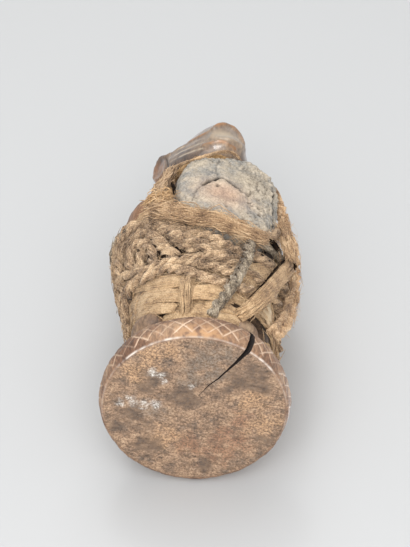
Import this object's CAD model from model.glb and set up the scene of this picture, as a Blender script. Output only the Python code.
import bmesh
import bpy
import math
import numpy as np
import random
from mathutils import Matrix, Vector, noise


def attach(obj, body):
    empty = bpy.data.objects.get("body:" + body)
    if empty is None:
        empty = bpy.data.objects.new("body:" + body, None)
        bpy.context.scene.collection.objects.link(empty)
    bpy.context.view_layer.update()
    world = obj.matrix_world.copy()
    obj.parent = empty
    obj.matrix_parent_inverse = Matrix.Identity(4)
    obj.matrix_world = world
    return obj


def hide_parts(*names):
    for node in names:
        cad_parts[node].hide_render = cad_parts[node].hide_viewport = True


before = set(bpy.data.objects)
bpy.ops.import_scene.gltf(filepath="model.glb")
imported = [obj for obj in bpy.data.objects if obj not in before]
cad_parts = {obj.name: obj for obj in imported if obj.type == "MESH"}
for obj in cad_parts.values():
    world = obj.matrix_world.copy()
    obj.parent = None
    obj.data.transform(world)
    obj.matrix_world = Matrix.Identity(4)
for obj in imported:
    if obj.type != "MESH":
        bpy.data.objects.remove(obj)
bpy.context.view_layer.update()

# A small standing power figure: carved wood on a round base, bound with bast and cord, clay charge behind.
# Metres in the mesh, millimetres in the numbers here: +Z up, the face towards -Y, the back towards +Y.

MM = 0.001
scene = bpy.context.scene


# Round base
# A low drum of dense dark wood, cut in one with the figure. The wall is rubbed red-brown and cross-hatched
# with a knife, the underside is dry end grain, and one drying crack opens it from the middle to the back.

BASE_STRETCH = (1.015, 1.03)
BASE_WALL = [
    (0.0, 28.0), (0.5, 28.7), (1.4, 29.0), (4, 29.5), (7.5, 29.1), (11, 27.5), (16, 23.2), (21, 19.3)]
BASE_STEPS = 640
BASE_ROW = 0.34
UNDERSIDE_ROWS = 46
HATCH_PITCH = 4.7
HATCH_SLOPE = 0.92
HATCH_WIDTH = 0.3
HATCH_DEPTH = 0.34
HATCH_LOW, HATCH_HIGH = 1.8, 20.0
CRACK_LINE = [
    (-0.2, 5.9), (-2.1, 10.4), (-4.4, 13.8), (-6.1, 17.2), (-8.1, 21), (-9.7, 24.4), (-11.4, 28),
    (-13.4, 33.5)]
CRACK_WIDTHS = [0.1, 0.3, 0.45, 0.65, 1.0, 1.5, 2.1, 2.5]
CRACK_TOPS = [4, 5, 6.5, 8, 9.2, 10.4, 11.2, 11.8]
CRACK_LEAN = 2.6
DARK_STAINS = [
    (19.1, -6.7, 3.4), (22, -11.7, 2.6), (14.6, -8.6, 2.8), (14.4, 9.9, 3.2), (17, 5.6, 2.4),
    (-11.3, 14.5, 4.2), (-14, 19.3, 2.8), (-18.1, 14.9, 3.4), (-8.1, -21.9, 2.6), (10.6, -17.6, 3.6),
    (-24.2, -7, 2.2), (4.5, 4, 4.6)]
GREY_STAINS = [(1, 20.6, 5.4), (-3, 15.6, 3.6), (3.6, 12.7, 3.4), (-6, 24, 2.6), (12, -3.5, 3.0)]
BARE_WOOD = [
    (17.6, 18.6, 4.4), (12.1, 21.4, 3.6), (20.8, 10.9, 3.8), (-16.7, 7.4, 4.6), (-21.8, -1.1, 4.2),
    (6.9, -13.8, 4.4)]
RED_WOOD = [
    (-9.8, -14.9, 4.6), (-15.5, -10.3, 4.2), (-1.7, -14.6, 4.0), (-14.7, -0.7, 3.0), (-11.5, -7.9, 3.6)]
PALE_SCUFFS = [
    (22.6, -2.6, 1.1), (18.6, -0.9, 1.7), (15.4, -1.2, 1.8), (12.6, -0.4, 1.4), (20.6, 0.2, 0.9),
    (15.6, 11.9, 1.3), (13.1, 11.4, 1.2), (3, 9.4, 0.9), (11.2, 9.2, 0.8)]
RIM_SCUFFS = [(20, 64, 1.0), (-43, -25, 1.0), (-20, 20, 0.4), (64, 110, 0.25), (-100, -43, 0.3)]


def linear(colour):
    """A hex colour as the eye reads it, turned linear."""
    parts = [int(colour[i:i + 2], 16) / 255 for i in (1, 3, 5)]
    return [p / 12.92 if p <= 0.04045 else ((p + 0.055) / 1.055) ** 2.4 for p in parts] + [1.0]


def add(tree, kind, inputs=None, stops=None, out=0, **settings):
    """Adds a shader node with its settings, colour stops and values or links, and gives its output."""
    made = tree.nodes.new("ShaderNode" + kind)
    for name, value in settings.items():
        setattr(made, name, value)
    for name, value in (inputs or {}).items():
        put(tree, made.inputs[name], value)
    if stops:
        ramp = made.color_ramp
        while len(ramp.elements) < len(stops):
            ramp.elements.new(0.5)
        for element, (spot, colour) in zip(ramp.elements, stops):
            element.position = spot
            element.color = linear(colour)
    return made.outputs[out]


def put(tree, socket, value):
    """Sets a socket to a number, a hex colour or another node's output."""
    if isinstance(value, bpy.types.NodeSocket):
        tree.links.new(value, socket)
    elif isinstance(value, str):
        socket.default_value = linear(value)
    else:
        socket.default_value = value


def finish_of(name, **constants):
    """A new material with its tree, its main shader and its object coordinates."""
    made = bpy.data.materials.new(name)
    made.use_nodes = True
    tree = made.node_tree
    shader = next(n for n in tree.nodes if n.type == "BSDF_PRINCIPLED")
    for constant, value in constants.items():
        shader.inputs[constant.replace("_", " ")].default_value = value
    return made, tree, shader, add(tree, "TexCoord", out=3)


def over(tree, colour, name, tone):
    """Lays a tone over a colour, as strongly as the piece's painted values of a name say."""
    share = add(tree, "Attribute", attribute_name=name, out=2)
    return add(tree, "MixRGB", {"Fac": share, "Color1": colour, "Color2": tone})


def per_mm(size):
    """Texture scale of a pattern whose features are this many millimetres."""
    return 1 / (size * MM)


def smoothed(low, high, value):
    t = np.clip((value - low) / (high - low), 0, 1)
    return t * t * (3 - 2 * t)


def fade(distance, half):
    """1 at a line or a place, falling smoothly to 0 past so many millimetres."""
    return np.exp(-(distance / half) ** 2)


def patch(points, centre, half):
    """1 at a place and 0 well away from it, with a half width for each direction."""
    return np.exp(-(((points - np.array(centre)) / half) ** 2).sum(1))


def roughly(points, size, octaves=3, seed=0.0):
    """Fractal noise, about -1 to 1, at points in millimetres."""
    shift = Vector((seed, seed * 1.7, -seed))
    return np.array([noise.fractal(Vector(p) / size + shift, 1.0, 2.0, octaves) for p in points])


def points_of(mesh):
    """Vertex places in millimetres, and vertex normals."""
    places = np.empty(len(mesh.vertices) * 3)
    mesh.vertices.foreach_get("co", places)
    normals = np.empty(len(mesh.vertices) * 3)
    mesh.vertex_normals.foreach_get("vector", normals)
    return places.reshape(-1, 3) / MM, normals.reshape(-1, 3)


def moved(mesh, points):
    mesh.vertices.foreach_set("co", (points * MM).ravel())
    mesh.update()


def painted(mesh, name, values):
    """Keeps one number for each vertex, for the material to read."""
    layer = mesh.attributes.new(name, "FLOAT", "POINT")
    layer.data.foreach_set("value", np.asarray(values, np.float32))


def piece(name, mesh, node=None, finishes=()):
    """Sets a finished mesh in the figure, and says which CAD node it stands for."""
    made = bpy.data.objects.new(name, mesh)
    scene.collection.objects.link(made)
    while len(mesh.materials) < len(finishes):
        mesh.materials.append(None)
    for i, finish in enumerate(finishes):
        mesh.materials[i] = finish
    mesh.polygons.foreach_set("use_smooth", [True] * len(mesh.polygons))
    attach(made, "root")
    if node:
        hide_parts(node)
    return made


def mesh_of(bm, name):
    made = bpy.data.meshes.new(name)
    bm.to_mesh(made)
    bm.free()
    return made


def turned_base():
    bm = bmesh.new()
    rows = [(0.0, BASE_WALL[0][1] * i / UNDERSIDE_ROWS) for i in range(UNDERSIDE_ROWS)]
    for (z0, r0), (z1, r1) in zip(BASE_WALL, BASE_WALL[1:]):
        count = max(1, round(math.hypot(z1 - z0, r1 - r0) / BASE_ROW))
        rows += [(z0 + (z1 - z0) * i / count, r0 + (r1 - r0) * i / count) for i in range(count)]
    rows += [BASE_WALL[-1], (21.1, 12), (21.1, 0)]
    line = [bm.verts.new((radius * MM, 0, height * MM)) for height, radius in rows]
    edges = [bm.edges.new(pair) for pair in zip(line, line[1:])]
    bmesh.ops.spin(
        bm, geom=line + edges, cent=(0, 0, 0), axis=(0, 0, 1), angle=2 * math.pi, steps=BASE_STEPS,
        use_merge=True)
    bmesh.ops.remove_doubles(bm, verts=bm.verts, dist=1e-7)
    bmesh.ops.recalc_face_normals(bm, faces=bm.faces)
    return mesh_of(bm, "turned")


def hatch(around, up):
    """How deep a place lies in a line of the cross-hatching, 0 to 1, by millimetres round and up the wall."""
    girth = 2 * math.pi * BASE_WALL[3][1]
    pitch = girth / round(girth / HATCH_PITCH)
    depth = np.zeros_like(around)
    for lean in (1, -1):
        waver = 0.45 * np.sin(around * 0.21 + 2 * lean) + 0.3 * np.sin(up * 0.5 + around * 0.07)
        off = (around + lean * (HATCH_SLOPE * up + 0.6) + waver) / pitch
        away = np.abs(off - np.round(off)) * pitch
        strength = 0.65 + 0.35 * np.sin(np.round(off) * 2.3 + lean)
        width = HATCH_WIDTH * (0.75 + 0.35 * strength)
        depth = np.maximum(depth, (1 - smoothed(width * 0.3, width * 1.4, away)) * strength)
    ends = smoothed(HATCH_LOW - 0.8, HATCH_LOW + 0.5, up) * (1 - smoothed(HATCH_HIGH - 2, HATCH_HIGH, up))
    return depth * ends


def crack_cutter():
    """The wedge that the drying crack takes out, widest at the rim, its sides torn along the grain."""
    bm = bmesh.new()
    draw = random.Random(7)
    sides = ([], [])
    last = len(CRACK_LINE) - 1
    for i, (spot, width) in enumerate(zip(CRACK_LINE, CRACK_WIDTHS)):
        ahead = Vector(CRACK_LINE[min(i + 1, last)]) - Vector(CRACK_LINE[max(i - 1, 0)])
        across = Vector((-ahead.y, ahead.x)).normalized()
        for side, sign in zip(sides, (-1, 1)):
            torn = draw.uniform(-0.1, 0.12) * min(1, width)
            side.append(Vector(spot) + across * sign * (width / 2 + torn))
    outline = sides[0] + sides[1][::-1]
    tops = CRACK_TOPS + CRACK_TOPS[::-1]
    floor = bm.faces.new([bm.verts.new((p.x * MM, p.y * MM, -MM)) for p in outline])
    lifted = bmesh.ops.extrude_face_region(bm, geom=[floor])["geom"]
    for vert in [v for v in lifted if isinstance(v, bmesh.types.BMVert)]:
        near = min(range(len(outline)), key=lambda i: (outline[i] * MM - vert.co.xy).length)
        vert.co.z = tops[near] * MM
        vert.co.x -= CRACK_LEAN * min(near, len(outline) - 1 - near) / last * MM
    bmesh.ops.triangulate(bm, faces=bm.faces)
    bmesh.ops.recalc_face_normals(bm, faces=bm.faces)
    for face in bm.faces:
        face.material_index = 1
    return mesh_of(bm, "crack")


def spots(points, marks, seed=0.0):
    """How strongly places lie in ragged round marks, each a spot and a half width in millimetres."""
    strength = np.zeros(len(points))
    broken = 1.1 * roughly(points, 3.2, 5, seed)
    for x, y, half in marks:
        gap = np.hypot(points[:, 0] - x, points[:, 1] - y) / half
        strength = np.maximum(strength, smoothed(1.7, 0.2, gap + broken))
    return strength


def cut(mesh, cutter):
    """The mesh with the cutter's form taken out, the cut faces left with the second finish."""
    for mesh_in in (mesh, cutter):
        mesh_in.materials.append(None)
        mesh_in.materials.append(None)
    block = bpy.data.objects.new("block", mesh)
    tool = bpy.data.objects.new("tool", cutter)
    for made in (block, tool):
        scene.collection.objects.link(made)
    boolean = block.modifiers.new("Boolean", "BOOLEAN")
    boolean.operation = "DIFFERENCE"
    boolean.solver = "MANIFOLD"
    boolean.object = tool
    result = bpy.data.meshes.new_from_object(block.evaluated_get(bpy.context.evaluated_depsgraph_get()))
    for made in (block, tool):
        bpy.data.objects.remove(made)
    return result


base_mesh = cut(turned_base(), crack_cutter())
places, normals = points_of(base_mesh)
radius = np.hypot(places[:, 0], places[:, 1])
around = np.arctan2(places[:, 0], places[:, 1]) * BASE_WALL[3][1]
crack_y = [p[1] for p in CRACK_LINE]
crack_x = np.interp(places[:, 1], crack_y, [p[0] for p in CRACK_LINE])
crack_x -= CRACK_LEAN * np.clip((places[:, 1] - 6) / 27, 0, 1) * np.clip(places[:, 2] / 10, 0, 1)
crack_half = np.interp(places[:, 1], crack_y, CRACK_WIDTHS) / 2
crack_top = np.interp(places[:, 1], crack_y, CRACK_TOPS)
near_crack = (np.abs(places[:, 0] - crack_x) < crack_half + 0.7) & (places[:, 1] > 5.5)
near_crack &= places[:, 2] < crack_top + 0.4
on_wall = np.clip(smoothed(27.6, 28.6, radius) + smoothed(1, 3, places[:, 2]), 0, 1)
lines = hatch(around, places[:, 2] + 2.0 * smoothed(12, 21, places[:, 2])) * on_wall
uneven = 0.3 * roughly(places, 11) + 0.1 * roughly(places, 2.6, seed=4)
outward = -HATCH_DEPTH * lines + uneven * (0.22 + 0.78 * on_wall)
places += normals * (outward * ~near_crack)[:, None]
places[:, 2] = np.where(places[:, 2] < 0, places[:, 2] * -0.5, places[:, 2])
below = places[:, 2] < 0.6
bearing = np.degrees(np.arctan2(places[:, 0], places[:, 1]))
scuffed = np.zeros(len(places))
for first, last, strength in RIM_SCUFFS:
    reached = smoothed(first - 4, first + 2, bearing) * smoothed(last + 4, last - 2, bearing)
    scuffed = np.maximum(scuffed, strength * reached)
rim = fade(radius - 28.3, 0.2) * (places[:, 2] < 1.0) * scuffed
rubbed = patch(places[:, [0, 2]], (4, 1.5), (8, 3.5)) * (places[:, 1] > 20) * on_wall
places[:, :2] *= BASE_STRETCH
moved(base_mesh, places)
painted(base_mesh, "incised", lines)
painted(base_mesh, "underside", smoothed(28.3, 27.6, radius + 0.3 * roughly(places, 4, seed=9)) * below)
painted(base_mesh, "worn_rim", rim * np.clip(0.65 + 1.1 * roughly(places, 3, seed=2), 0, 1))
painted(base_mesh, "rubbed", rubbed * np.clip(0.8 + 1.5 * roughly(places, 2, seed=6), 0, 1))
for name, marks in (
        ("stained", DARK_STAINS), ("greyed", GREY_STAINS), ("bare", BARE_WOOD), ("reddened", RED_WOOD),
        ("scuffed", PALE_SCUFFS)):
    painted(base_mesh, name, spots(places, marks, len(marks)) * below)

# Dense tropical hardwood, hand carved: long use has rubbed the wall to a satin red-brown, the knife lines
# show the paler wood, and the end grain below stays dry, scuffed and stained grey.
base_wood, tree, shader, place = finish_of("hardwood_knife_hatched", IOR=1.5)
patches = add(tree, "TexNoise", {"Vector": place, "Scale": per_mm(9), "Detail": 6.0, "Roughness": 0.68})
fine = add(tree, "TexNoise", {"Vector": place, "Scale": per_mm(0.75), "Detail": 5.0, "Roughness": 0.75})
upright = add(tree, "Mapping", {"Vector": place, "Scale": (1, 1, 0.15)})
grain = add(tree, "TexNoise", {"Vector": upright, "Scale": per_mm(0.8), "Detail": 5.0, "Roughness": 0.65})
wall = add(tree, "ValToRGB", {"Fac": patches}, stops=[
    (0.3, "#5e4537"), (0.44, "#876650"), (0.56, "#a8886d"), (0.7, "#c6a98b")])
streaks = add(tree, "ValToRGB", {"Fac": grain}, stops=[
    (0.33, "#6e5f58"), (0.5, "#c4b8b0"), (0.68, "#fff2e6")])
wall = add(tree, "MixRGB", {"Fac": 0.7, "Color1": wall, "Color2": streaks}, blend_type="MULTIPLY")
wall = over(tree, wall, "rubbed", "#bb9066")
wall = over(tree, wall, "incised", "#e0c4aa")
stains = add(tree, "TexNoise", {"Vector": place, "Scale": per_mm(5), "Detail": 8.0, "Roughness": 0.75})
ends = add(tree, "ValToRGB", {"Fac": stains}, stops=[
    (0.36, "#7f7166"), (0.46, "#a8907c"), (0.54, "#c2a58b"), (0.64, "#dcc0a4")])
turned = add(tree, "Mapping", {"Vector": place, "Rotation": (0, 0, 0.9), "Scale": (0.3, 1, 1)})
strokes = add(tree, "TexNoise", {"Vector": turned, "Scale": per_mm(1.2), "Detail": 4.0, "Roughness": 0.7})
strokes = add(tree, "ValToRGB", {"Fac": strokes}, stops=[
    (0.36, "#978c84"), (0.5, "#e4deda"), (0.6, "#ffffff")])
ends = add(tree, "MixRGB", {"Fac": 0.6, "Color1": ends, "Color2": strokes}, blend_type="MULTIPLY")
for name, colour, most in (
        ("greyed", "#8f867c", 0.8), ("bare", "#dcb48c", 0.7), ("reddened", "#a87457", 0.5),
        ("stained", "#5a504a", 0.8), ("scuffed", "#e6e4e1", 1.0)):
    mark = add(tree, "Attribute", attribute_name=name, out=2)
    broken = add(tree, "MapRange", {"Value": fine, "From Min": 0.38, "From Max": 0.58, "To Max": most})
    mark = add(tree, "Math", {0: mark, 1: broken}, operation="MULTIPLY")
    ends = add(tree, "MixRGB", {"Fac": mark, "Color1": ends, "Color2": colour})
specks = add(tree, "ValToRGB", {"Fac": fine}, stops=[(0.34, "#6a625b"), (0.5, "#cfc8c0"), (0.62, "#fffbf5")])
ends = add(tree, "MixRGB", {"Fac": 0.9, "Color1": ends, "Color2": specks}, blend_type="MULTIPLY")
below = add(tree, "Attribute", attribute_name="underside", out=2)
colour = add(tree, "MixRGB", {"Fac": below, "Color1": wall, "Color2": ends})
put(tree, shader.inputs["Base Color"], over(tree, colour, "worn_rim", "#ece0d4"))
put(tree, shader.inputs["Roughness"], add(tree, "MapRange", {"Value": below, "To Min": 0.5, "To Max": 0.8}))
relief = add(tree, "Math", {0: fine, 1: grain}, operation="ADD")
relief = add(tree, "Bump", {"Height": relief, "Strength": 0.7, "Distance": 0.3 * MM})
put(tree, shader.inputs["Normal"], relief)

# The crack's torn sides, never rubbed or cleaned: near black with dust, and quite dull.
crack_wood, tree, shader, place = finish_of("hardwood_torn_in_crack", IOR=1.5, Roughness=0.95)
torn = add(tree, "TexNoise", {"Vector": place, "Scale": per_mm(1.5), "Detail": 4.0})
colour = add(tree, "ValToRGB", {"Fac": torn}, stops=[(0.35, "#0e0907"), (0.55, "#1c130f"), (0.75, "#3a2a20")])
put(tree, shader.inputs["Base Color"], colour)
piece("carved_base", base_mesh, "carved_figure", [base_wood, crack_wood])


# Carved body and head
# The same block of wood above the base: feet, legs, trunk, arms, neck and a head with a crest drawn back.
# The adze cuts are rubbed round by handling, and the head is glossy, its ridges worn to the orange wood.

HEELS = [((15.6, 6.8, 23.6), (7.2, 7.4, 7.6)), ((-10.2, 13.4, 22.2), (6.8, 6.8, 6))]
EAR = (19.4, 4, 118)
LEFT_ARM = (25, 6, 84)
HEAD_CENTRE = (1, 0, 120)
HEAD_TURN = math.radians(12)
EYE = (6.2, -0.3)
FACE_CUTS = [
    [(2.8, -0.5), (4.2, 1.3), (6.2, 2), (8.2, 1.4), (9.7, -0.3)],
    [(3, -0.7), (4.6, -1.2), (6.2, -1.3), (7.8, -1.2), (9.4, -0.7)],
    [(3.4, -1.8), (5, -2.6), (6.4, -2.8), (8, -2.4)], [(1.2, -8.9), (2.6, -9), (3.5, -7.8), (3.3, -6.2)],
    [(0, -12), (2, -12.2), (4.6, -11.7)], [(0, -14.6), (1.6, -14.7), (3, -14.3)]]
UPPER_ARMS = [((21.2, 3.2, 85), (5.6, 8, 13)), ((-21.2, 2.6, 87), (4.6, 7, 11))]
CREST_RIDGE = [
    (9.2, 14.4, 127), (4.7, 18.9, 126.6), (2.6, 22, 126.4), (0.4, 22.2, 129), (-2.3, 21.4, 131.4),
    (-5, 20.6, 131.2), (-7.7, 20.2, 128.2), (-8.8, 20, 123.4)]
NAPE_RIDGE = [
    (4.9, 20.3, 117.4), (2.2, 21.9, 117), (0.5, 22.5, 117.3), (-0.8, 22.9, 117.2), (-3, 23, 116.5),
    (-5.4, 22, 116)]
EAR_CREASE = [(16.6, 7.2, 124.4), (16.2, 8.4, 120), (15.8, 8.9, 116), (15.4, 9.0, 113)]
GRAIN_LINES = [
    [(15, 9.5, 121), (12.4, 13.1, 120.6), (8.7, 16.8, 119.6), (5.4, 19.8, 119.5)],
    [(14.8, 10, 117.5), (11.8, 14.4, 116.6), (8.0, 17.9, 116), (4.2, 20.6, 115.4)],
    [(14.4, 10.6, 124), (10.8, 13.7, 124.1), (7.2, 16.6, 123.4), (4.6, 19.2, 122.6)]]


def away_from(points, line):
    """Distance from points to a run of straight pieces."""
    line = np.array(line, float)
    best = np.full(len(points), 1e9)
    for a, b in zip(line, line[1:]):
        t = np.clip(((points - a) @ (b - a)) / ((b - a) @ (b - a)), 0, 1)
        best = np.minimum(best, np.linalg.norm(points - (a + t[:, None] * (b - a)), axis=1))
    return best


def worked_copy(node, voxel, passes, floor=None, lumps=()):
    """A CAD node's closed form, with any rounded lumps grown on it, in an even fine mesh and softened."""
    bm = bmesh.new()
    bm.from_mesh(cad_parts[node].data)
    bmesh.ops.remove_doubles(bm, verts=bm.verts, dist=1e-6)
    if floor is not None:
        geom = list(bm.verts) + list(bm.edges) + list(bm.faces)
        bmesh.ops.bisect_plane(
            bm, geom=geom, plane_co=(0, 0, floor * MM), plane_no=(0, 0, 1), clear_inner=True)
        bmesh.ops.holes_fill(bm, edges=[e for e in bm.edges if e.is_boundary], sides=0)
    for spot, half in lumps:
        matrix = Matrix.Translation(Vector(spot) * MM) @ Matrix.Diagonal((*(h * MM for h in half), 1))
        bmesh.ops.create_icosphere(bm, subdivisions=4, radius=1, matrix=matrix)
    holder = bpy.data.objects.new("holder", mesh_of(bm, "holder"))
    scene.collection.objects.link(holder)
    remesh = holder.modifiers.new("Remesh", "REMESH")
    remesh.mode = "VOXEL"
    remesh.voxel_size = voxel * MM
    soften = holder.modifiers.new("Smooth", "SMOOTH")
    soften.factor = 0.5
    soften.iterations = passes
    made = bpy.data.meshes.new_from_object(holder.evaluated_get(bpy.context.evaluated_depsgraph_get()))
    bpy.data.objects.remove(holder)
    return made


body_mesh = worked_copy("carved_figure", 0.62, 5, floor=12, lumps=HEELS + UPPER_ARMS)
bm = bmesh.new()
bm.from_mesh(body_mesh)
back_of_head = [
    v for v in bm.verts if v.co.z > 102 * MM and v.co.y > 2 * MM and -14.5 * MM < v.co.x < 15.5 * MM]
for _ in range(24):
    bmesh.ops.smooth_vert(
        bm, verts=back_of_head, factor=0.5, use_axis_x=True, use_axis_y=True, use_axis_z=True)
bm.to_mesh(body_mesh)
bm.free()
places, normals = points_of(body_mesh)
radius = np.hypot(places[:, 0] / BASE_STRETCH[0], places[:, 1] / BASE_STRETCH[1])
base_radius = np.interp(places[:, 2], [p[0] for p in BASE_WALL], [p[1] for p in BASE_WALL])
sunk = smoothed(1.3, 0.3, radius - base_radius) * smoothed(20.8, 20.2, places[:, 2])
inward = -places / np.maximum(np.linalg.norm(places, axis=1), 1e-6)[:, None]
places += inward * (1.8 * sunk)[:, None]
crest = away_from(places, CREST_RIDGE)
nape = away_from(places, NAPE_RIDGE)
crease = away_from(places, EAR_CREASE)
between = patch(places, (-1.5, 22.5, 122), (5.5, 6, 3.6))
adze = 0.2 * roughly(places, 6.5, 2) + 0.06 * roughly(places, 1.8, 2, seed=3)
adze += 0.55 * fade(crest, 1.1) + 0.5 * fade(nape, 1.0) - 0.7 * between - 1.1 * fade(crease, 0.4)
off = places - HEAD_CENTRE
across = np.abs(off[:, 0] * math.cos(HEAD_TURN) + off[:, 1] * math.sin(HEAD_TURN))
ahead = off[:, 1] * math.cos(HEAD_TURN) - off[:, 0] * math.sin(HEAD_TURN)
on_face = np.stack([across, off[:, 2]], 1)
facing = smoothed(-8, -10.5, ahead) * (np.abs(off[:, 2]) < 20)
cuts = np.zeros(len(places))
for line in FACE_CUTS:
    cuts = np.maximum(cuts, fade(away_from(on_face, line), 0.42) * facing)
adze += 0.8 * patch(on_face, EYE, (2.7, 1.5)) * facing - 0.75 * cuts
streak = np.zeros(len(places))
for line in GRAIN_LINES:
    streak = np.maximum(streak, fade(away_from(places, line), 0.45))
places += normals * (adze - 0.12 * streak)[:, None]
moved(body_mesh, places)
broken = np.clip(0.75 + 1.2 * roughly(places, 2.6, 3, seed=12), 0, 1)
broken *= 0.35 + 0.65 * smoothed(-9, -5.5, places[:, 0])
painted(body_mesh, "worn", np.clip(fade(crest, 0.85) + fade(nape, 0.75), 0, 1) * broken)
painted(body_mesh, "pale", np.clip(0.6 * between + 0.8 * streak * broken, 0, 1))
painted(body_mesh, "head", smoothed(94, 102, places[:, 2]))
ear = smoothed(6.5, 3, np.linalg.norm((places - EAR) / [0.7, 1, 1.3], axis=1))
arm = smoothed(9, 4, np.linalg.norm((places - LEFT_ARM) / [0.8, 1, 1.8], axis=1))
painted(body_mesh, "tawny", np.maximum(ear, arm))
painted(body_mesh, "crease", np.maximum(fade(crease, 0.45), 0.75 * cuts))

# The same hardwood, oiled and handled: violet-brown with a soft gloss, paler and orange where it is worn.
body_wood, tree, shader, place = finish_of("hardwood_handled_patina", IOR=1.5, Coat_Roughness=0.14)
patches = add(tree, "TexNoise", {"Vector": place, "Scale": per_mm(9), "Detail": 5.0, "Roughness": 0.6})
upright = add(tree, "Mapping", {"Vector": place, "Scale": (0.5, 0.5, 0.16)})
grain = add(tree, "TexNoise", {"Vector": upright, "Scale": per_mm(0.5), "Detail": 5.0, "Roughness": 0.65})
brown = add(tree, "ValToRGB", {"Fac": patches}, stops=[
    (0.3, "#4f3d30"), (0.44, "#7b624e"), (0.56, "#9a8067"), (0.7, "#b8a084")])
oiled = add(tree, "ValToRGB", {"Fac": patches}, stops=[
    (0.3, "#4a392e"), (0.44, "#715b4a"), (0.56, "#8e7862"), (0.7, "#ab967e")])
high = add(tree, "Attribute", attribute_name="head", out=2)
colour = add(tree, "MixRGB", {"Fac": high, "Color1": brown, "Color2": oiled})
tawny = add(tree, "Attribute", attribute_name="tawny", out=2)
tawny = add(tree, "Math", {0: tawny, 1: 0.65}, operation="MULTIPLY")
colour = add(tree, "MixRGB", {"Fac": tawny, "Color1": colour, "Color2": "#a0714c"})
streaks = add(tree, "ValToRGB", {"Fac": grain}, stops=[
    (0.35, "#74675f"), (0.52, "#cfc6c0"), (0.68, "#fff6ee")])
colour = add(tree, "MixRGB", {"Fac": 0.7, "Color1": colour, "Color2": streaks}, blend_type="MULTIPLY")
colour = over(tree, colour, "pale", "#c9b89f")
raised = add(tree, "NewGeometry", out=7)
edges = add(tree, "MapRange", {"Value": raised, "From Min": 0.53, "From Max": 0.62, "To Max": 0.55})
colour = add(tree, "MixRGB", {"Fac": edges, "Color1": colour, "Color2": "#b88964"})
colour = over(tree, colour, "worn", "#9a6733")
put(tree, shader.inputs["Base Color"], over(tree, colour, "crease", "#2a1d17"))
put(tree, shader.inputs["Coat Weight"], add(tree, "MapRange", {"Value": high, "To Min": 0.1, "To Max": 0.8}))
put(tree, shader.inputs["Roughness"], add(tree, "MapRange", {"Value": high, "To Min": 0.6, "To Max": 0.35}))
relief = add(tree, "Bump", {"Height": grain, "Strength": 0.3, "Distance": 0.2 * MM})
put(tree, shader.inputs["Normal"], relief)
piece("carved_body", body_mesh, "carved_figure", [body_wood])


# Clay charge
# A rounded block of grey clay mixed with resin and ash, packed by hand on the back and dried hard.
# It has shrunk into cracks and pits, is bluer at its edges and pinkish beige in the middle.

CLAY_CRACKS = [
    ([(6.4, 77.7), (3.3, 81.6), (0.9, 84.0), (-1.6, 83.2), (-4.1, 81.0), (-6.6, 79.6), (-9.4, 79.2)],
     0.45, 1.3),
    ([(15.0, 69), (15.6, 64.5), (16.6, 60.3)], 0.8, 2.2),
    ([(-18.8, 93), (-19, 84), (-19.8, 73), (-20, 60)], 0.4, 1.0),
    ([(-9.6, 79.8), (-12.4, 84), (-13.0, 90)], 0.25, 0.5),
    ([(1.2, 84.4), (2.2, 90), (0.6, 96)], 0.25, 0.45),
    ([(6.6, 77), (9.2, 73.4), (9.8, 69)], 0.25, 0.5),
]
CLAY_PITS = [
    (1.1, 79.3, 0.7), (-2.3, 68.9, 0.6), (-9.8, 80.3, 0.7), (-7.9, 64.5, 0.9), (-9.2, 63.4, 0.6),
    (8.4, 70.2, 0.5), (5.2, 64.6, 0.5), (-13.6, 70.4, 0.8), (-12.2, 68.2, 0.6), (-13.2, 73.6, 0.6),
    (3.2, 88.2, 0.4), (-4.6, 73.8, 0.4)]

clay_mesh = worked_copy("clay_charge", 0.42, 6)
places, normals = points_of(clay_mesh)
places[:, 0] += 1.7 * smoothed(-11, -18, places[:, 0]) * smoothed(82, 91, places[:, 2])
crumbly = 0.5 + 0.35 * smoothed(-4, -14, places[:, 0]) + 0.3 * smoothed(88, 96, places[:, 2])
ridged = 1 - 2 * np.abs(roughly(places, 3.4, 3, seed=15))
lumps = 0.9 * roughly(places, 8, 2) + 0.8 * crumbly * roughly(places, 2.6, 3, seed=5)
lumps += 0.2 * roughly(places, 0.9, 2, seed=6) - 0.8 * crumbly * smoothed(0.84, 1.0, ridged)
flat_view = places[:, [0, 2]] + 0.5 * np.stack([roughly(places, 2.2, 2, 7), roughly(places, 2.2, 2, 8)], 1)
crumbled = np.zeros(len(places))
for line, half, depth in CLAY_CRACKS:
    crumbled = np.maximum(crumbled, depth * fade(away_from(flat_view, line), half))
for x, z, size in CLAY_PITS:
    gap = np.hypot(flat_view[:, 0] - x, flat_view[:, 1] - z)
    crumbled = np.maximum(crumbled, 1.1 * size * np.exp(-(gap / size) ** 4))
crumbled *= places[:, 1] > 20
places += normals * (np.clip(lumps, -1.3, 1.1) - crumbled)[:, None]
moved(clay_mesh, places)
painted(clay_mesh, "crumbled", np.clip(crumbled + 0.7 * smoothed(0.88, 1.0, ridged) * (crumbly > 0.7), 0, 1))
from_behind = places[:, [0, 2]]
painted(clay_mesh, "middle", patch(from_behind, (-1, 75.5), (8.5, 6.5)))
sandy = np.maximum(patch(from_behind, (-11, 88), (7, 7)), 0.8 * patch(from_behind, (8, 93), (4, 4)))
painted(clay_mesh, "sandy", sandy)

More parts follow.
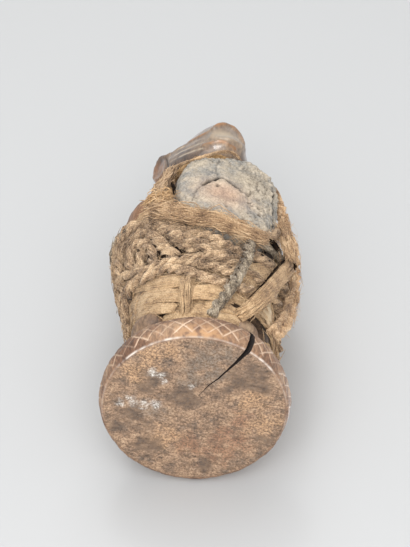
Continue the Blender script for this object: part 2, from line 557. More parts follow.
# Sun-dried clay and ash: matt, grainy, mottled grey and beige with a few pale grains.
clay, tree, shader, place = finish_of("sun_dried_clay", IOR=1.45, Roughness=0.92)
patches = add(tree, "TexNoise", {"Vector": place, "Scale": per_mm(6), "Detail": 6.0, "Roughness": 0.7})
fine = add(tree, "TexNoise", {"Vector": place, "Scale": per_mm(0.7), "Detail": 4.0, "Roughness": 0.7})
grey = add(tree, "ValToRGB", {"Fac": patches}, stops=[
    (0.32, "#828382"), (0.44, "#a39f98"), (0.55, "#bcb1a1"), (0.68, "#d3c6b2")])
colour = grey
for name, dark, middle, light in (
        ("middle", "#ae9584", "#cbad96", "#dfc5ae"), ("sandy", "#a39888", "#c0b3a0", "#d4c7b2")):
    tone = add(tree, "ValToRGB", {"Fac": patches}, stops=[(0.35, dark), (0.55, middle), (0.72, light)])
    colour = over(tree, colour, name, tone)
specks = add(tree, "ValToRGB", {"Fac": fine}, stops=[
    (0.33, "#6c6864"), (0.47, "#cbc7c1"), (0.68, "#ffffff")])
colour = add(tree, "MixRGB", {"Fac": 0.55, "Color1": colour, "Color2": specks}, blend_type="MULTIPLY")
put(tree, shader.inputs["Base Color"], over(tree, colour, "crumbled", "#2c251f"))
relief = add(tree, "Bump", {"Height": fine, "Strength": 0.6, "Distance": 0.3 * MM})
put(tree, shader.inputs["Normal"], relief)
piece("clay_charge_lump", clay_mesh, "clay_charge", [clay])


# Bast wrap
# Flat strips of beaten inner bark wound round legs and trunk over a padding of the same fibre. The strips
# lie in rough level layers, dry, matt and tan, and split into fine fibres where they bend.

WRAP_HEIGHTS = [23.5, 28, 34, 42, 50, 58, 66, 74, 79, 82]
WRAP_RADII = [21, 22.2, 22.5, 22.6, 23.5, 25.2, 26.4, 26.8, 26.1, 24.4]
WRAP_LEAN = 0.06
WRAP_LEAN_HEIGHT = 66
UNROLLED = 0.47
STRIP_ROUTES = [
    (6.4, [(-95, 51.6, 0), (-80, 50.6, 0.3), (-68, 46.8, 0.6), (-48, 40.4, 0.7), (-30, 37.4, 0.4),
           (-18, 37, 0)]),
    (6.0, [(-104, 47, 0), (-88, 46, 0.2), (-59, 36.5, 0.5), (-33, 30.4, 0.4), (-20, 29, 0)]),
    (5.2, [(-106, 41, 0), (-90, 40, 0.2), (-60, 30.4, 0.5), (-35, 25.6, 0.3)]),
    (7.4, [(-24, 30.6, 0.3), (-10, 30.2, 1.0), (3, 30.6, 0.6), (12, 31, 0)]),
    (4.6, [(-12, 25.4, 0.2), (0, 25.2, 0.6), (14, 25.4, 0.2)]),
    (6.0, [(14, 40, 0.2), (26, 46, 0.8), (40, 52, 1.2), (52, 58, 0.6)]),
    (5.0, [(20, 34, 0.2), (34, 46, 1.0), (46, 50, 1.0), (58, 52, 0.4)]),
    (5.6, [(-58, 24, -1.4), (-46, 23.6, -0.2), (-28, 22.6, 0.3), (-6, 22, 0.3), (12, 22.4, 0),
           (20, 23, -0.6)]),
]
BARE_OF_BAST = [(-68, 24), (37, 20)]
LOOSE_HAIR = 0.075
BAST_HAIR = 0.11
LAYER_HEIGHTS = [26.5, 31, 35.5, 40, 44.5, 49, 53.5, 58, 62.5, 67, 71.5, 76, 79.6]


def smooth_line(rows, step):
    """Even points along a smooth curve through rows of three numbers."""
    rows = np.array(rows, float)
    held = np.vstack([2 * rows[0] - rows[1], rows, 2 * rows[-1] - rows[-2]])
    t = np.linspace(0, 1, 16, endpoint=False)[:, None]
    runs = []
    for a, b, c, d in zip(held, held[1:], held[2:], held[3:]):
        bend, twist = 2 * a - 5 * b + 4 * c - d, 3 * b - a - 3 * c + d
        runs.append(b + 0.5 * ((c - a) * t + bend * t ** 2 + twist * t ** 3))
    dense = np.vstack(runs + [rows[-1:]])
    length = np.r_[0, np.cumsum(np.linalg.norm(np.diff(dense, axis=0), axis=1))]
    even = np.linspace(0, length[-1], max(4, round(length[-1] / step)))
    return np.stack([np.interp(even, length, dense[:, i]) for i in range(3)], 1)


def wrap_centre(height):
    return WRAP_LEAN * (height - WRAP_LEAN_HEIGHT)


def on_wrap(angle, height, lift):
    """Points on the wrapping: degrees from the middle of the back towards -X, height and lift off it."""
    reach = np.interp(height, WRAP_HEIGHTS, WRAP_RADII) + lift
    turn = np.radians(angle)
    return np.stack([wrap_centre(height) - reach * np.sin(turn), reach * np.cos(turn), height], -1)


class Lay:
    """A line laid in space, with its run of length, its outward and its sideways directions."""

    def __init__(self, line, outward=None):
        self.line = line
        ahead = np.gradient(line, axis=0)
        ahead /= np.linalg.norm(ahead, axis=1)[:, None]
        if outward is None:
            outward = np.stack([line[:, 0] - wrap_centre(line[:, 2]), line[:, 1], 0 * line[:, 2]], 1)
        outward = outward - ahead * np.sum(outward * ahead, 1)[:, None]
        self.out = outward / np.linalg.norm(outward, axis=1)[:, None]
        self.side = np.cross(ahead, self.out)
        self.run = np.r_[0, np.cumsum(np.linalg.norm(np.diff(line, axis=0), axis=1))]

    def off(self, across, out, keep=slice(None)):
        """Points so many millimetres sideways and outwards of the line."""
        return self.line[keep] + self.side[keep] * across[:, None] + self.out[keep] * out[:, None]


def laid(rows, lift=0.0, step=0.7):
    """A route on the wrapping, smoothed as if the wrapping were unrolled."""
    flat = smooth_line([(angle * UNROLLED, height, rise + lift) for angle, height, rise in rows], step)
    return Lay(on_wrap(flat[:, 0] / UNROLLED, flat[:, 1], flat[:, 2]))


def drift(draw, count, reach):
    """A slow random wander of about one unit, evenly over so many points."""
    knots = draw.normal(size=max(4, int(count / reach) + 4))
    return np.interp(np.linspace(0, len(knots) - 1, count), np.arange(len(knots)), knots)


def fibre_store(name, sides):
    """A curve that gathers round fibres, each swept with so many sides."""
    store = bpy.data.curves.new(name, "CURVE")
    store.dimensions = "3D"
    store.bevel_depth = MM
    store.bevel_resolution = (sides - 4) // 2
    store.use_fill_caps = True
    return store


def fibre(store, line, size, tint=0, taper=3):
    """Adds one fibre along a line in millimetres, of a size in millimetres, drawn out at its ends.

    Every second point of the line is enough to carry it and keeps the mesh light.
    """
    ends = np.minimum(np.arange(len(line)), np.arange(len(line))[::-1])
    sizes = size * np.clip((ends + 1) / taper, 0.25, 1)
    kept = np.unique(np.r_[0:len(line):2, len(line) - 1])
    spline = store.splines.new("POLY")
    spline.points.add(len(kept) - 1)
    spline.points.foreach_set("co", np.c_[line[kept] * MM, np.ones(len(kept))].ravel())
    spline.points.foreach_set("radius", sizes[kept])
    spline.material_index = tint
    spline.use_smooth = True


def swept(store):
    """The gathered fibres as one mesh."""
    holder = bpy.data.objects.new("holder", store)
    scene.collection.objects.link(holder)
    made = bpy.data.meshes.new_from_object(holder.evaluated_get(bpy.context.evaluated_depsgraph_get()))
    bpy.data.objects.remove(holder)
    return made


def bast_strip(store, lay, width, thickness, draw, size):
    """A flat strip of parallel fibres that narrows a little at its ends."""
    count = max(4, round(width / (size * 1.1)))
    n = len(lay.line)
    narrow = 0.72 + 0.28 * np.sin(np.pi * np.linspace(0.1, 0.9, n))
    for i in range(count):
        across = (i + 0.5) / count - 0.5
        sway = 0.22 * size * drift(draw, n, 14)
        crown = thickness * (1 - (2 * across) ** 2)
        level = crown + 0.35 * size * drift(draw, n, 10)
        line = lay.off(across * width * narrow + sway, level)
        fibre(store, line, size * draw.uniform(0.75, 1.25), int(draw.integers(3)))


def hank(store, lay, width, thickness, count, draw, size=0.24, wander=0.16, tints=3):
    """A loose bundle of fibres that cross, wander and end where they like."""
    for _ in range(count):
        length = lay.run[-1] * draw.uniform(0.35, 1)
        first = draw.uniform(0, lay.run[-1] - length)
        keep = (lay.run >= first) & (lay.run <= first + length)
        n = int(keep.sum())
        if n < 6:
            continue
        turn, reach = draw.uniform(0, 2 * math.pi), math.sqrt(draw.random())
        side = 0.5 * width * (reach * math.cos(turn) + wander * drift(draw, n, 9))
        rise = 0.5 * thickness * (1 + reach * math.sin(turn) + wander * drift(draw, n, 9))
        line = lay.off(side, np.maximum(rise, 0), keep)
        fibre(store, line, size * draw.uniform(0.6, 1.5), int(draw.integers(tints)))


def frayed(store, lay, wide, thick, rate, draw, tints=3, spring=0.5, length=(4, 13)):
    """Single fibres that have worked loose along a cord or band and lie round it, so many to a millimetre."""
    for _ in range(int(lay.run[-1] * rate)):
        reach = min(draw.uniform(*length), lay.run[-1] * 0.9)
        first = draw.uniform(0, lay.run[-1] - reach)
        t = np.linspace(0, 1, 9)
        at = first + reach * t
        middle, side, out = (
            np.stack([np.interp(at, lay.run, rows[:, i]) for i in range(3)], 1)
            for rows in (lay.line, lay.side, lay.out))
        turn = draw.uniform(0, 2 * math.pi) + draw.uniform(-1.6, 1.6) * t
        off = draw.uniform(0.9, 1.08) + draw.uniform(0, spring) * (2 * t - 1) ** 2
        line = middle + side * (wide * off * np.cos(turn))[:, None]
        line += out * (thick * off * np.sin(turn))[:, None]
        fibre(store, line, LOOSE_HAIR * draw.uniform(0.6, 1.6), int(draw.integers(tints)))


def loose_hairs(store, draw, count, angles, heights, lift, length):
    """Single fibres that have sprung from the winding and lie across it."""
    for _ in range(count):
        angle, height = draw.uniform(*angles), draw.uniform(*heights)
        heading = draw.normal(0, 0.55) + (0 if draw.random() < 0.7 else 1.3)
        reach = draw.uniform(*length)
        steps = np.linspace(0, 1, 9)
        bend = draw.normal(0, 0.6)
        rise = lift + draw.uniform(0, 1.2) * np.sin(np.pi * steps) + 0.4 * steps
        across = reach * steps * math.cos(heading)
        up = reach * (steps * math.sin(heading) + bend * 0.25 * steps ** 2)
        line = on_wrap(angle + across / UNROLLED, height + up, rise)
        fibre(store, line, BAST_HAIR * draw.uniform(0.7, 1.5), int(draw.integers(3)))


def fibre_finish(name, dark, middle, light):
    """Dry plant fibre: matt, with tones that change from one handful to the next and along each strand."""
    made, tree, shader, place = finish_of(
        name, Roughness=0.92, IOR=1.45, Sheen_Weight=0.12, Sheen_Roughness=0.6)
    patches = add(tree, "TexNoise", {"Vector": place, "Scale": per_mm(5), "Detail": 4.0, "Roughness": 0.6})
    fine = add(tree, "TexNoise", {"Vector": place, "Scale": per_mm(0.5), "Detail": 3.0, "Roughness": 0.7})
    tone = add(tree, "Math", {0: patches, 1: fine}, operation="ADD")
    tone = add(tree, "Math", {0: tone, 1: 0.5}, operation="MULTIPLY")
    colour = add(tree, "ValToRGB", {"Fac": tone}, stops=[(0.38, dark), (0.5, middle), (0.62, light)])
    put(tree, shader.inputs["Base Color"], colour)
    relief = add(tree, "Bump", {"Height": fine, "Strength": 0.5, "Distance": 0.15 * MM})
    put(tree, shader.inputs["Normal"], relief)
    return made


def over_heels(angle, height):
    """How far, 0 to 1, a place on the wrapping lies low over one of the two heels."""
    low = smoothed(31, 29, np.asarray(height, float))
    turned = [np.abs((angle - middle + 180) % 360 - 180) / half for middle, half in BARE_OF_BAST]
    return low * smoothed(1, 0.6, np.minimum(*turned))


draw = np.random.default_rng(11)
padding = worked_copy("bast_wrap", 1.0, 4, lumps=[((0.7, -1, 77.6), (23.4, 22.4, 4.4))])
places, normals = points_of(padding)
outer = np.hypot(places[:, 0], places[:, 1])
bared = over_heels(np.degrees(np.arctan2(-places[:, 0], places[:, 1])), places[:, 2])
bared *= smoothed(17, 20, outer)
places[:, :2] *= (1 - 0.22 * bared)[:, None]
strands = np.stack([np.arctan2(places[:, 0], places[:, 1]) * 4.0, places[:, 2] / 0.9, 0 * places[:, 0]], 1)
places += normals * (-0.9 + 0.35 * roughly(strands, 1.0, 2) + 0.35 * roughly(places, 5, 2))[:, None]
moved(padding, places)

# Beaten bark fibre deep in the wrapping: never in the light, so brown and dull.
dark_fibre = fibre_finish("bast_padding_in_shade", "#241a12", "#4a3728", "#6f5640")

# Strips of the same bark, dried in the sun: tan, some greyed by dust and some still golden, with no gloss.
bast = [
    fibre_finish("bast_strip_tan", "#745b43", "#b3946f", "#d3b791"),
    fibre_finish("bast_strip_grey", "#70655a", "#a39683", "#c8bba5"),
    fibre_finish("bast_strip_golden", "#85643f", "#bb9366", "#dab88a"),
]
piece("bast_padding", padding, "bast_wrap", [dark_fibre])
store = fibre_store("bast_strips", 6)
for width, rows in STRIP_ROUTES:
    bast_strip(store, laid(rows, 0.2), width, 0.5, draw, size=0.36)
layers = fibre_store("bast_layers", 6)
for height in LAYER_HEIGHTS:
    slope, start, span = draw.normal(0, 1.2), draw.uniform(0, 360), 361
    if 46 < height < 69:
        start, span = 58 + draw.uniform(0, 12), 226
    turns = []
    for angle in range(0, span, 12):
        level = height + slope * math.sin(math.radians(angle * 0.5)) + draw.normal(0, 0.12)
        turns.append((start + angle, level, -0.55 - 4.5 * float(over_heels(start + angle, level - 1.5))))
    bast_strip(layers, laid(turns, 0, 1.8), 5.6, 0.25, draw, size=0.5)
for sunk in (3.4, 6.6, 9.8, 13):
    rows = [(angle, 82.2 - 0.02 * sunk, draw.normal(-sunk, 0.35)) for angle in range(66, 300, 12)]
    lay = laid(rows, 0, 1.8)
    lay.out, lay.side = -lay.side, lay.out
    bast_strip(layers, lay, 3.8, 0.3, draw, size=0.5)
piece("bast_layers", swept(layers), "bast_wrap", bast)
loose_hairs(store, draw, 260, (-110, 80), (24, 58), 0.7, (4, 14))
loose_hairs(store, draw, 200, (80, 250), (24, 78), 0.5, (4, 14))
upright_lay = laid([(-24, 37.6, 0.4), (-25, 34, 1.6), (-26, 29, 1.4), (-27, 24, 0.6), (-28, 20.4, -0.4)], 0.3)
hank(store, upright_lay, 3.6, 1.8, 46, draw, size=0.16, wander=0.08)
frayed(store, upright_lay, 1.9, 1.2, 4, draw)
piece("bast_strips", swept(store), "bast_wrap", bast)


# Wound cord
# Two-ply cord, hand rolled from plant fibre and about 3 mm thick, wound in crossing turns over the bast.
# Handling and earth have turned it grey-brown; the plies show as slanting lumps and fray into hairs.

CORD_RADIUS = 1.6
SWOLLEN_RADIUS = 1.12 * CORD_RADIUS
CORD_PITCH = 7.6
CORD_YARNS = 9
GREY_TURN = 4
CORD_TURNS = [
    [(22, 44.6, 0.6), (10, 44.8, 0.8), (-10, 45.3, 1), (-29, 44.5, 1.2), (-40, 44.9, 1.6), (-53, 45.8, 1.7),
     (-68, 49.6, 1.7), (-84, 55.8, 1.2), (-110, 60, 0.6), (-150, 62, 0.6), (-190, 62, 0.6), (-230, 60, 0.6),
     (-270, 57.5, 0.6), (-300, 56.4, 0.6), (-314, 55.7, 0.6), (-333, 53.4, 0.9), (-345, 50.9, 1.4),
     (-357, 51.8, 1.6), (-366, 53.8, 1.6), (-375, 54.8, 1.5), (-383, 56.5, 1.3), (-400, 61, 1),
     (-425, 65, 0.6), (-455, 67.5, 0.6), (-500, 68, 0.6), (-545, 68, 0.6), (-590, 66, 0.6), (-622, 60, 0.6)],
    [(-150, 74, 0.6), (-110, 73, 0.6), (-85, 71.5, 0.8), (-60, 68.6, 1), (-43, 64.4, 1.2), (-34, 58, 1.6),
     (-23, 53.1, 1.8), (-9, 49.8, 1.6), (3, 47.8, 1.4), (15, 46.9, 1.2), (22, 45.2, 0.8), (39, 44.2, 0.6),
     (60, 45, 0.6), (100, 48, 0.6), (150, 52, 0.6), (200, 54, 0.6), (240, 53, 0.8), (262, 50.4, 1.4),
     (290, 48, 0.8)],
    [(30, 37.5, 0.6), (20, 35.5, 0.6), (5, 34.1, 0.8), (-2, 34.5, 1), (-11, 35.4, 1), (-20, 38, 1),
     (-30, 40.8, 1.1), (-42, 43.4, 1.5), (-56, 43.6, 1.6), (-72, 46.4, 1.6), (-92, 47.6, 0.8),
     (-130, 46.5, 0.6), (-180, 45, 0.6), (-230, 43.5, 0.6), (-262, 42.6, 0.6), (-282, 43.6, 0.6)],
    [(-30, 44.2, 0.6), (-18, 42.2, 1.4), (-10, 41.3, 1.6), (-2, 40.4, 1.6), (8, 40.5, 1.4), (19, 43.6, 0.6)],
    [(-7, 19.4, 0.2), (-3, 23.4, 1.2), (4, 28, 2.2), (10, 34.7, 3.4), (16, 42.7, 4), (18, 47, 4.2),
     (19, 51.9, 4), (22, 56.5, 2.6), (30, 60, 1.4), (46, 64, 0.6), (75, 68.5, 0.6), (120, 71, 0.6),
     (165, 73, 0.6), (210, 75, 0.6), (250, 75.5, 0.8), (275, 73.5, 1.2), (294, 70, 1)],
    [(-73, 51, 1), (-70, 56, 1.6), (-64, 60, 1.6), (-55, 58.5, 1.4), (-50, 54, 1.2), (-50, 47, 1.4)],
    [(-56, 68, 1.2), (-66, 71.6, 1.4), (-76, 70.6, 1.4), (-83, 65.7, 0.8), (-88, 59.6, 1), (-92, 52, 1),
     (-102, 45, 0.8), (-114, 39, 0.6), (-140, 36, 0.6), (-190, 35, 0.6), (-240, 35.5, 0.6),
     (-276, 36.5, 0.6)],
]
SHORT_ENDS = [
    [(-46, 71, 1.4), (-48, 66, 1.4), (-47, 61, 1.4), (-45, 56.5, 1.2), (-40, 51.6, 0.6), (-34, 47.2, 0.2)],
    [(-57, 65.5, 0.8), (-50, 61, 1.6), (-44, 57.5, 1.8), (-37, 51.5, 1), (-32, 48, 0.2)],
    [(-42, 61, 0.6), (-34, 57, 2.2), (-28, 54.5, 2.6), (-17, 50.5, 2.6), (-5, 46.5, 2.2), (7, 45.5, 1.4)],
    [(20, 59, 1.4), (27, 61.4, 2.2), (35, 64, 2.6), (43, 69.5, 2.4), (47, 74, 1)],
    [(-46, 67.6, 0.4), (-34, 62.4, 0.8), (-24, 58.2, 1), (-10, 54.2, 1), (4, 51.8, 0.4)],
    [(-44, 60.5, 0.2), (-36, 57.2, 0.6), (-30, 54.2, 0.8), (-23, 50.8, 0.8), (-16, 48.4, 0.2)],
    [(-69, 48, 0.2), (-63, 52.5, 0.7), (-58, 56.5, 0.7), (-54, 60.5, 0.2)],
]


def twisted_cord(store, lay, draw):
    """Two plies rolled one way and laid round each other the other way, each a bundle of finer yarns."""
    n = len(lay.line)
    phase = 2 * math.pi * (lay.run / CORD_PITCH) + 0.55 * drift(draw, n, 11) + draw.uniform(0, 6.28)
    swell = SWOLLEN_RADIUS * (1 + 0.09 * drift(draw, n, 9))
    for ply in range(2):
        turn = phase + math.pi * ply
        reach = 0.5 * swell * (1 + 0.08 * drift(draw, n, 8))
        ply_across, ply_out = reach * np.cos(turn), reach * np.sin(turn)
        fibre(store, lay.off(ply_across, ply_out), 0.44 * swell)
        for yarn in range(CORD_YARNS):
            spin = turn - 0.9 * phase + 2 * math.pi * yarn / CORD_YARNS + 0.35 * drift(draw, n, 8)
            reach = swell * (0.42 + 0.04 * drift(draw, n, 6))
            line = lay.off(ply_across + reach * np.cos(spin), ply_out + reach * np.sin(spin))
            fibre(store, line, SWOLLEN_RADIUS * draw.uniform(0.1, 0.19), int(draw.integers(4)))
    frayed(store, lay, SWOLLEN_RADIUS, SWOLLEN_RADIUS, 0.9, draw, 4)


# Hand-rolled plant fibre, greased and dusty from handling: grey-brown in the twist, paler on the lumps.
cord = [
    fibre_finish("rolled_cord_grey_brown", "#4b3a2c", "#a3886c", "#dcc09c"),
    fibre_finish("rolled_cord_tan", "#795a3e", "#c09c74", "#e8c79c"),
    fibre_finish("rolled_cord_silvery", "#7a6f64", "#baac9b", "#e4d9c9"),
    fibre_finish("rolled_cord_pale", "#93775a", "#d8ba94", "#f6dfbc"),
]

# One older cord, weathered silver-grey with dark resin between its yarns.
grey_cord = [
    fibre_finish("rolled_cord_weathered", "#2c241c", "#857663", "#c4b6a0"),
    fibre_finish("rolled_cord_weathered_light", "#5b5348", "#b1a593", "#eee6d8"),
    fibre_finish("rolled_cord_weathered_tan", "#4b3a2a", "#977c5c", "#cfb48e"),
    cord[2],
]
for number, rows in enumerate(CORD_TURNS + SHORT_ENDS):
    store = fibre_store("cord", 4)
    twisted_cord(store, laid(rows, CORD_RADIUS, 0.6), draw)
    finishes = grey_cord if number == GREY_TURN else cord
    piece(f"cord_turn_{number + 1}", swept(store), "wound_cord", finishes)


# Fibrous band
# A loose hank of golden fibre pressed along the lower edge of the charge, which keeps the clay in place.
# Thinner hanks run up beside it, with a tuft at the left and strands black with resin in the gaps.

FIBRE_BAND = [
    (-52, 72.4, 1.8), (-46, 70.6, 3.2), (-40, 68.4, 4.2), (-28, 63.4, 4.6), (-14, 59.8, 5),
    (3, 58, 5.2), (14, 57, 5.2), (24, 57.8, 5), (33, 60.5, 4.6)]
SHOULDER_FIBRE = [
    (110, 3.2, 0.35, [
        (14.2, 12.6, 109.4), (15.4, 15, 102), (16.6, 17, 94), (17.9, 18.6, 86.5), (19, 20.4, 79),
        (20, 22.4, 72)]),
    (50, 2.6, 0.35, [
        (16.8, 10.6, 104), (18.6, 13.4, 96), (20, 16.2, 87), (20.8, 19.4, 78), (20.2, 22.4, 71)]),
    (16, 0.8, 0.2, [
        (16.4, 8.2, 113.6), (13.3, 13.8, 110.2), (11.3, 18.8, 105.8), (8.7, 23.6, 101.8), (5.3, 25.2, 102.8),
        (1.5, 23.9, 107.8), (-2.1, 23.3, 110.8), (-5.3, 22.7, 111.8), (-9, 19.4, 111)]),
    (190, 4.8, 0.35, [
        (-20.2, 21.4, 76), (-22.4, 20.2, 72), (-23.2, 19.8, 68.5), (-23.9, 19.3, 64.5), (-25.8, 17.6, 60)]),
    (46, 1.5, 0.3, [(-24.4, 16.4, 87.5), (-23.3, 17.3, 93), (-21.7, 18.3, 98), (-19.6, 18.4, 102)]),
]
GOLDEN_TUFT = [(-50, 73.4, 2), (-44, 74.4, 3.2), (-36, 73, 4.2), (-28, 69.6, 4.6)]
BESIDE_CROSS_BAND = [
    (55, 64.6, 4.4), (52, 60.6, 4.5), (44, 52.1, 4.4), (37.8, 45.4, 4.5), (32.4, 39.8, 4.2),
    (20.5, 29.4, 2.6)]
SOAKED_STRANDS = [
    (0.3, 9, laid(BESIDE_CROSS_BAND)),
    (0.9, 18, Lay(smooth_line([(16.2, 29.6, 77), (15.8, 30.3, 72.7), (15.5, 30.8, 67.5)], 0.6))),
    (3.4, 60, Lay(smooth_line([(-17.4, 23.8, 64.4), (-19.4, 22.6, 63), (-21.8, 20.8, 61.2)], 0.4))),
    (1.1, 16, Lay(smooth_line([(-27.6, 17.4, 62.4), (-27.9, 17.2, 60.4), (-28, 17, 58.2)], 0.4))),
]

# Raw leaf fibre, combed but not spun: a dry tan mass of hairs with grey and brown ones among them.
band_fibre = [
    fibre_finish("loose_fibre_tan", "#735943", "#b59470", "#dabd98"),
    fibre_finish("loose_fibre_grey", "#6c5f50", "#a8967f", "#cfbfa8"),
    fibre_finish("loose_fibre_brown", "#4c392c", "#8f745a", "#bfa383"),
]

# The same fibre where it was kept clean, so that it is still straw-coloured.
golden_fibre = [
    fibre_finish("loose_fibre_golden", "#86684a", "#bf9a6e", "#e6c79c"),
    fibre_finish("loose_fibre_straw", "#8f7754", "#cdb083", "#eed8b2"),
]
store = fibre_store("fibre_band", 4)
band_lay = laid(FIBRE_BAND, -0.1)
hank(store, band_lay, 3.4, 1.8, 60, draw, size=0.32, wander=0.45)
hank(store, band_lay, 4.2, 2.2, 260, draw, size=0.13, wander=0.7)
frayed(store, band_lay, 2.6, 1.6, 7, draw, spring=1.6, length=(3, 10))
piece("loose_fibre_band", swept(store), "fibre_band", band_fibre)
store = fibre_store("shoulder_fibre", 4)
for count, wide, wander, rows in SHOULDER_FIBRE:
    lay = Lay(smooth_line(rows, 0.8))
    hank(store, lay, wide, wide * 0.7, count, draw, size=0.15, wander=wander)
    frayed(store, lay, wide * 0.55, wide * 0.45, 4, draw, spring=1.0, length=(3, 11))
piece("shoulder_fibre", swept(store), "fibre_band", band_fibre)
store = fibre_store("tuft", 4)
lay = laid(GOLDEN_TUFT)
hank(store, lay, 4.0, 2.4, 60, draw, size=0.14, wander=0.8, tints=2)
frayed(store, lay, 2.0, 1.4, 7, draw, tints=2, spring=1.4, length=(3, 9))
piece("golden_tuft", swept(store), "fibre_band", golden_fibre)
store = fibre_store("soaked", 4)
for wide, count, lay in SOAKED_STRANDS:
    hank(store, lay, wide, 0.9, count, draw, size=0.16, wander=0.3, tints=1)

# Fibre soaked with old resin and soot, black brown and without shine, which reads as a deep gap.
soaked, tree, shader, place = finish_of(
    "fibre_black_with_resin", Roughness=0.9, IOR=1.45, Specular_IOR_Level=0.1)
patches = add(tree, "TexNoise", {"Vector": place, "Scale": per_mm(1.2), "Detail": 3.0})
colour = add(tree, "ValToRGB", {"Fac": patches}, stops=[(0.4, "#070403"), (0.65, "#2a1d13")])
put(tree, shader.inputs["Base Color"], colour)
piece("soaked_strands", swept(store), "fibre_band", [soaked])


# Cross band
# A broad flat strip of bast that crosses the right of the back slantwise, over the cords.

CROSS_BAND = [
    (67, 73, 3.8), (63, 68, 4.2), (58, 60, 4.2), (50, 51, 4.2), (38, 38.5, 4), (26, 28, 2), (17, 23, 0.6)]

# A broad strip of one piece of bast, smooth and tan, its fibres side by side.
strip_fibre = [
    fibre_finish("flat_strip_tan", "#785d44", "#b3926c", "#d4b68f"),
    fibre_finish("flat_strip_pale", "#8b7155", "#c2a580", "#e2c9a5"),
    fibre_finish("flat_strip_golden", "#88653f", "#bd9162", "#dcb583"),
]
store = fibre_store("cross_band", 4)
cross_lay = laid(CROSS_BAND, 0)
bast_strip(store, cross_lay, 4.4, 0.4, draw, size=0.45)
hank(store, cross_lay, 4.8, 1.8, 190, draw, size=0.14, wander=0.14)
hank(store, cross_lay, 4.6, 1.8, 36, draw, size=0.26, wander=0.12)
frayed(store, cross_lay, 2.7, 1.3, 3, draw, spring=0.8, length=(4, 14))
piece("broad_cross_band", swept(store), "cross_band", strip_fibre)


# Side plait
# A three-strand plait of reddish fibre that hangs down the figure's right side, from shoulder to base.

PLAIT = [
    (50, 92, 3.6), (57, 85, 4.2), (66, 79, 3.8), (75, 73, 2.8), (79, 64, 2.8), (77, 55, 3), (72, 46, 3.2),
    (66, 38, 2.4), (59, 31, 1.2), (52, 25.5, 0.6)]
PLAIT_PITCH = 9.6
PLAIT_HALF_THICKNESS = 1.7
PLAIT_YARNS = 11

# Three strands of different fibre, tan, orange and pinkish, matt and rubbed hairy, round a core in shade.
plait_fibre = [
    fibre_finish("plaited_fibre_tan", "#6c523c", "#bc9a76", "#e2c6a2"),
    fibre_finish("plaited_fibre_orange", "#85603c", "#c99c6a", "#eac695"),
    fibre_finish("plaited_fibre_pinkish", "#77604f", "#bda08c", "#dfc8b6"),
    dark_fibre,
]
store = fibre_store("plait", 4)
lay = laid(PLAIT, PLAIT_HALF_THICKNESS + 0.35)
lay = Lay(lay.line, lay.out + np.array([0, 0.9, -0.2]))
for strand in range(3):
    turn = 2 * math.pi * (lay.run / PLAIT_PITCH + strand / 3)
    middle = lay.off(1.95 * np.sin(turn), 1.1 * np.sin(2 * turn))
    own = Lay(middle, lay.out)
    fibre(store, middle, 0.55, 3)
    for yarn in range(PLAIT_YARNS):
        spin = 2 * math.pi * yarn / PLAIT_YARNS - own.run * 0.35
        reach = 0.74 + 0.08 * drift(draw, len(middle), 8)
        line = own.off(reach * np.cos(spin), 0.8 * reach * np.sin(spin))
        size = draw.uniform(0.18, 0.32)
        fibre(store, line, size, strand if draw.random() < 0.7 else int(draw.integers(3)))
frayed(store, lay, 2.8, 1.8, 1.6, draw, spring=0.9)
piece("plait_right_side", swept(store), "side_plait", plait_fibre)


# Neck tie
# A thin pale strand of fibre tied round the neck, in the crease between the charge and the nape.

NECK_TIE = [
    (0.6, -10.6, 96.8), (5.4, -9.5, 97), (9, -6.8, 98), (11.2, -2.7, 100), (12.8, 2.1, 103),
    (13.5, 8.8, 106.5), (10.2, 15.8, 109), (1, 21.3, 109.8), (-9.3, 17.7, 109), (-12.4, 9.4, 106.5),
    (-11.5, 2.2, 103), (-11, -3.2, 100), (-7.9, -7.5, 98), (-4.6, -9.9, 96)]

# Clean pale fibre, hardly twisted, with a straw colour and no gloss.
tie_fibre = fibre_finish("thin_golden_fibre", "#9c7a52", "#cda878", "#eed0a2")
store = fibre_store("neck_tie", 6)
line = smooth_line(NECK_TIE, 0.7)
tie = Lay(line, line - np.array([1, 0, 104]))
for strand in range(4):
    turn = 2 * math.pi * (tie.run / 9 + strand / 4)
    wide = 0.5 + 0.15 * drift(draw, len(line), 12)
    fibre(store, tie.off(wide * np.cos(turn), wide * np.sin(turn)), 0.26)
frayed(store, tie, 0.7, 0.7, 2.5, draw, tints=1, spring=1.2)
piece("neck_tie_strand", swept(store), "neck_tie", [tie_fibre])


# Hide patch
# A small flap of scraped pale hide, tucked under the cords low on the right side. The cords alone hold it.

# Raw hide, scraped and dried: cream, blotched with tan, smooth with a dull sheen.
hide, tree, shader, place = finish_of("scraped_pale_hide", Roughness=0.62, IOR=1.45)
patches = add(tree, "TexNoise", {"Vector": place, "Scale": per_mm(4), "Detail": 4.0})
fine = add(tree, "TexNoise", {"Vector": place, "Scale": per_mm(0.6), "Detail": 3.0})
colour = add(tree, "ValToRGB", {"Fac": patches}, stops=[
    (0.35, "#b39a7b"), (0.5, "#d3bc9b"), (0.65, "#e6d4b8")])
put(tree, shader.inputs["Base Color"], colour)
relief = add(tree, "Bump", {"Height": fine, "Strength": 0.3, "Distance": 0.2 * MM})
put(tree, shader.inputs["Normal"], relief)
hide_mesh = worked_copy("hide_patch", 0.35, 5)
places, normals = points_of(hide_mesh)
places += normals * (0.35 * roughly(places, 3.5, 2))[:, None]
moved(hide_mesh, places)
piece("hide_flap", hide_mesh, "hide_patch", [hide])


# Table, floor and light
# The figure stands upright in the frame, and in the photo it lies on its front on a pale table. So the table
# is an upright sheet at its front, and a level floor is there for the other views; each has one shown side.

TABLE_OUT = Vector((0.2077, 0.9782, 0))
TABLE_REACH = -31.6
SHEET_HALF_WIDTH = 2.5


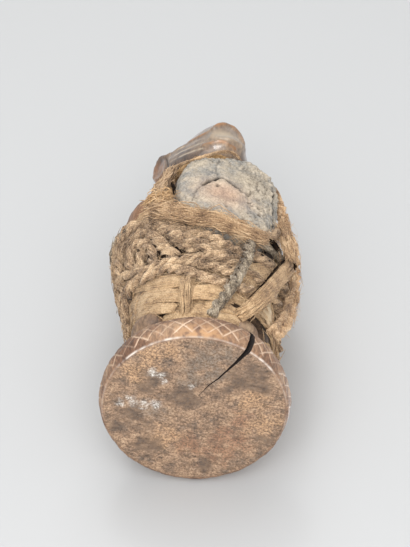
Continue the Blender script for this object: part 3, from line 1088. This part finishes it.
def one_sided(name, colour):
    """Plain matt paint on the front of a sheet, with nothing to see on its back."""
    made, tree, shader, place = finish_of(name, Roughness=0.7)
    shader.inputs["Base Color"].default_value = linear(colour)
    see_through = add(tree, "BsdfTransparent")
    behind = add(tree, "NewGeometry", out=6)
    mixed = add(tree, "MixShader", {0: behind, 1: shader.outputs[0], 2: see_through})
    output = next(n for n in tree.nodes if n.type == "OUTPUT_MATERIAL")
    put(tree, output.inputs["Surface"], mixed)
    return made


def sheet_plane(name, centre, out, finish):
    bm = bmesh.new()
    bmesh.ops.create_grid(bm, x_segments=1, y_segments=1, size=SHEET_HALF_WIDTH)
    turned = out.to_track_quat("Z", "Y").to_matrix().to_4x4()
    bmesh.ops.transform(bm, matrix=Matrix.Translation(centre) @ turned, verts=bm.verts)
    made = bpy.data.objects.new(name, mesh_of(bm, name))
    made.data.materials.append(finish)
    scene.collection.objects.link(made)
    made.visible_shadow = False
    return made


sheet_plane("table_top", TABLE_OUT * TABLE_REACH * MM, TABLE_OUT, one_sided("pale_table", "#b7b8b9"))
floor = sheet_plane("floor", Vector((0, 0, -0.2 * MM)), Vector((0, 0, 1)), one_sided("pale_floor", "#b7b8b9"))
floor.visible_diffuse = floor.visible_glossy = False

world = bpy.data.worlds.new("studio")
scene.world = world
world.use_nodes = True
world.node_tree.nodes["Background"].inputs[0].default_value = linear("#f4f4f3")
world.node_tree.nodes["Background"].inputs[1].default_value = 0.75


def softbox(name, place, target, size, power):
    lamp = bpy.data.lights.new(name, "AREA")
    lamp.shape = "DISK"
    lamp.size = size
    lamp.energy = power
    made = bpy.data.objects.new(name, lamp)
    made.location = place
    made.rotation_euler = (Vector(target) - Vector(place)).to_track_quat("-Z", "Y").to_euler()
    scene.collection.objects.link(made)


MIDDLE = (0, 0, 0.07)
softbox("key_overhead", (0.25, 0.9, 0.45), MIDDLE, 1.0, 4.0)
softbox("key_small", (0.34, 0.9, 0.56), MIDDLE, 0.24, 1.3)
softbox("fill_camera_side", (0.15, 0.72, -0.82), MIDDLE, 1.3, 11)
softbox("fill_foreground", (0.14, 0.55, -0.66), (0, 0, -0.05), 0.5, 2.4)
softbox("fill_front", (-0.9, -0.8, 0.7), MIDDLE, 0.8, 10)

lens = bpy.data.cameras.new("photo_view")
lens.lens = 130.05
lens.sensor_width = 36
lens.clip_start = 0.01
lens.clip_end = 20
camera = bpy.data.objects.new("photo_view", lens)
right = Vector((-0.97765419, 0.20780681, 0.03175856))
up = Vector((0.18417391, 0.77385835, 0.60598946))
back = Vector((0.10135211, 0.59829723, -0.79483846))
turned = Matrix((right, up, back)).transposed().to_4x4()
camera.matrix_world = Matrix.Translation((0.066768, 0.400788, -0.462110)) @ turned
scene.collection.objects.link(camera)
scene.camera = camera
scene.view_settings.view_transform = "Standard"
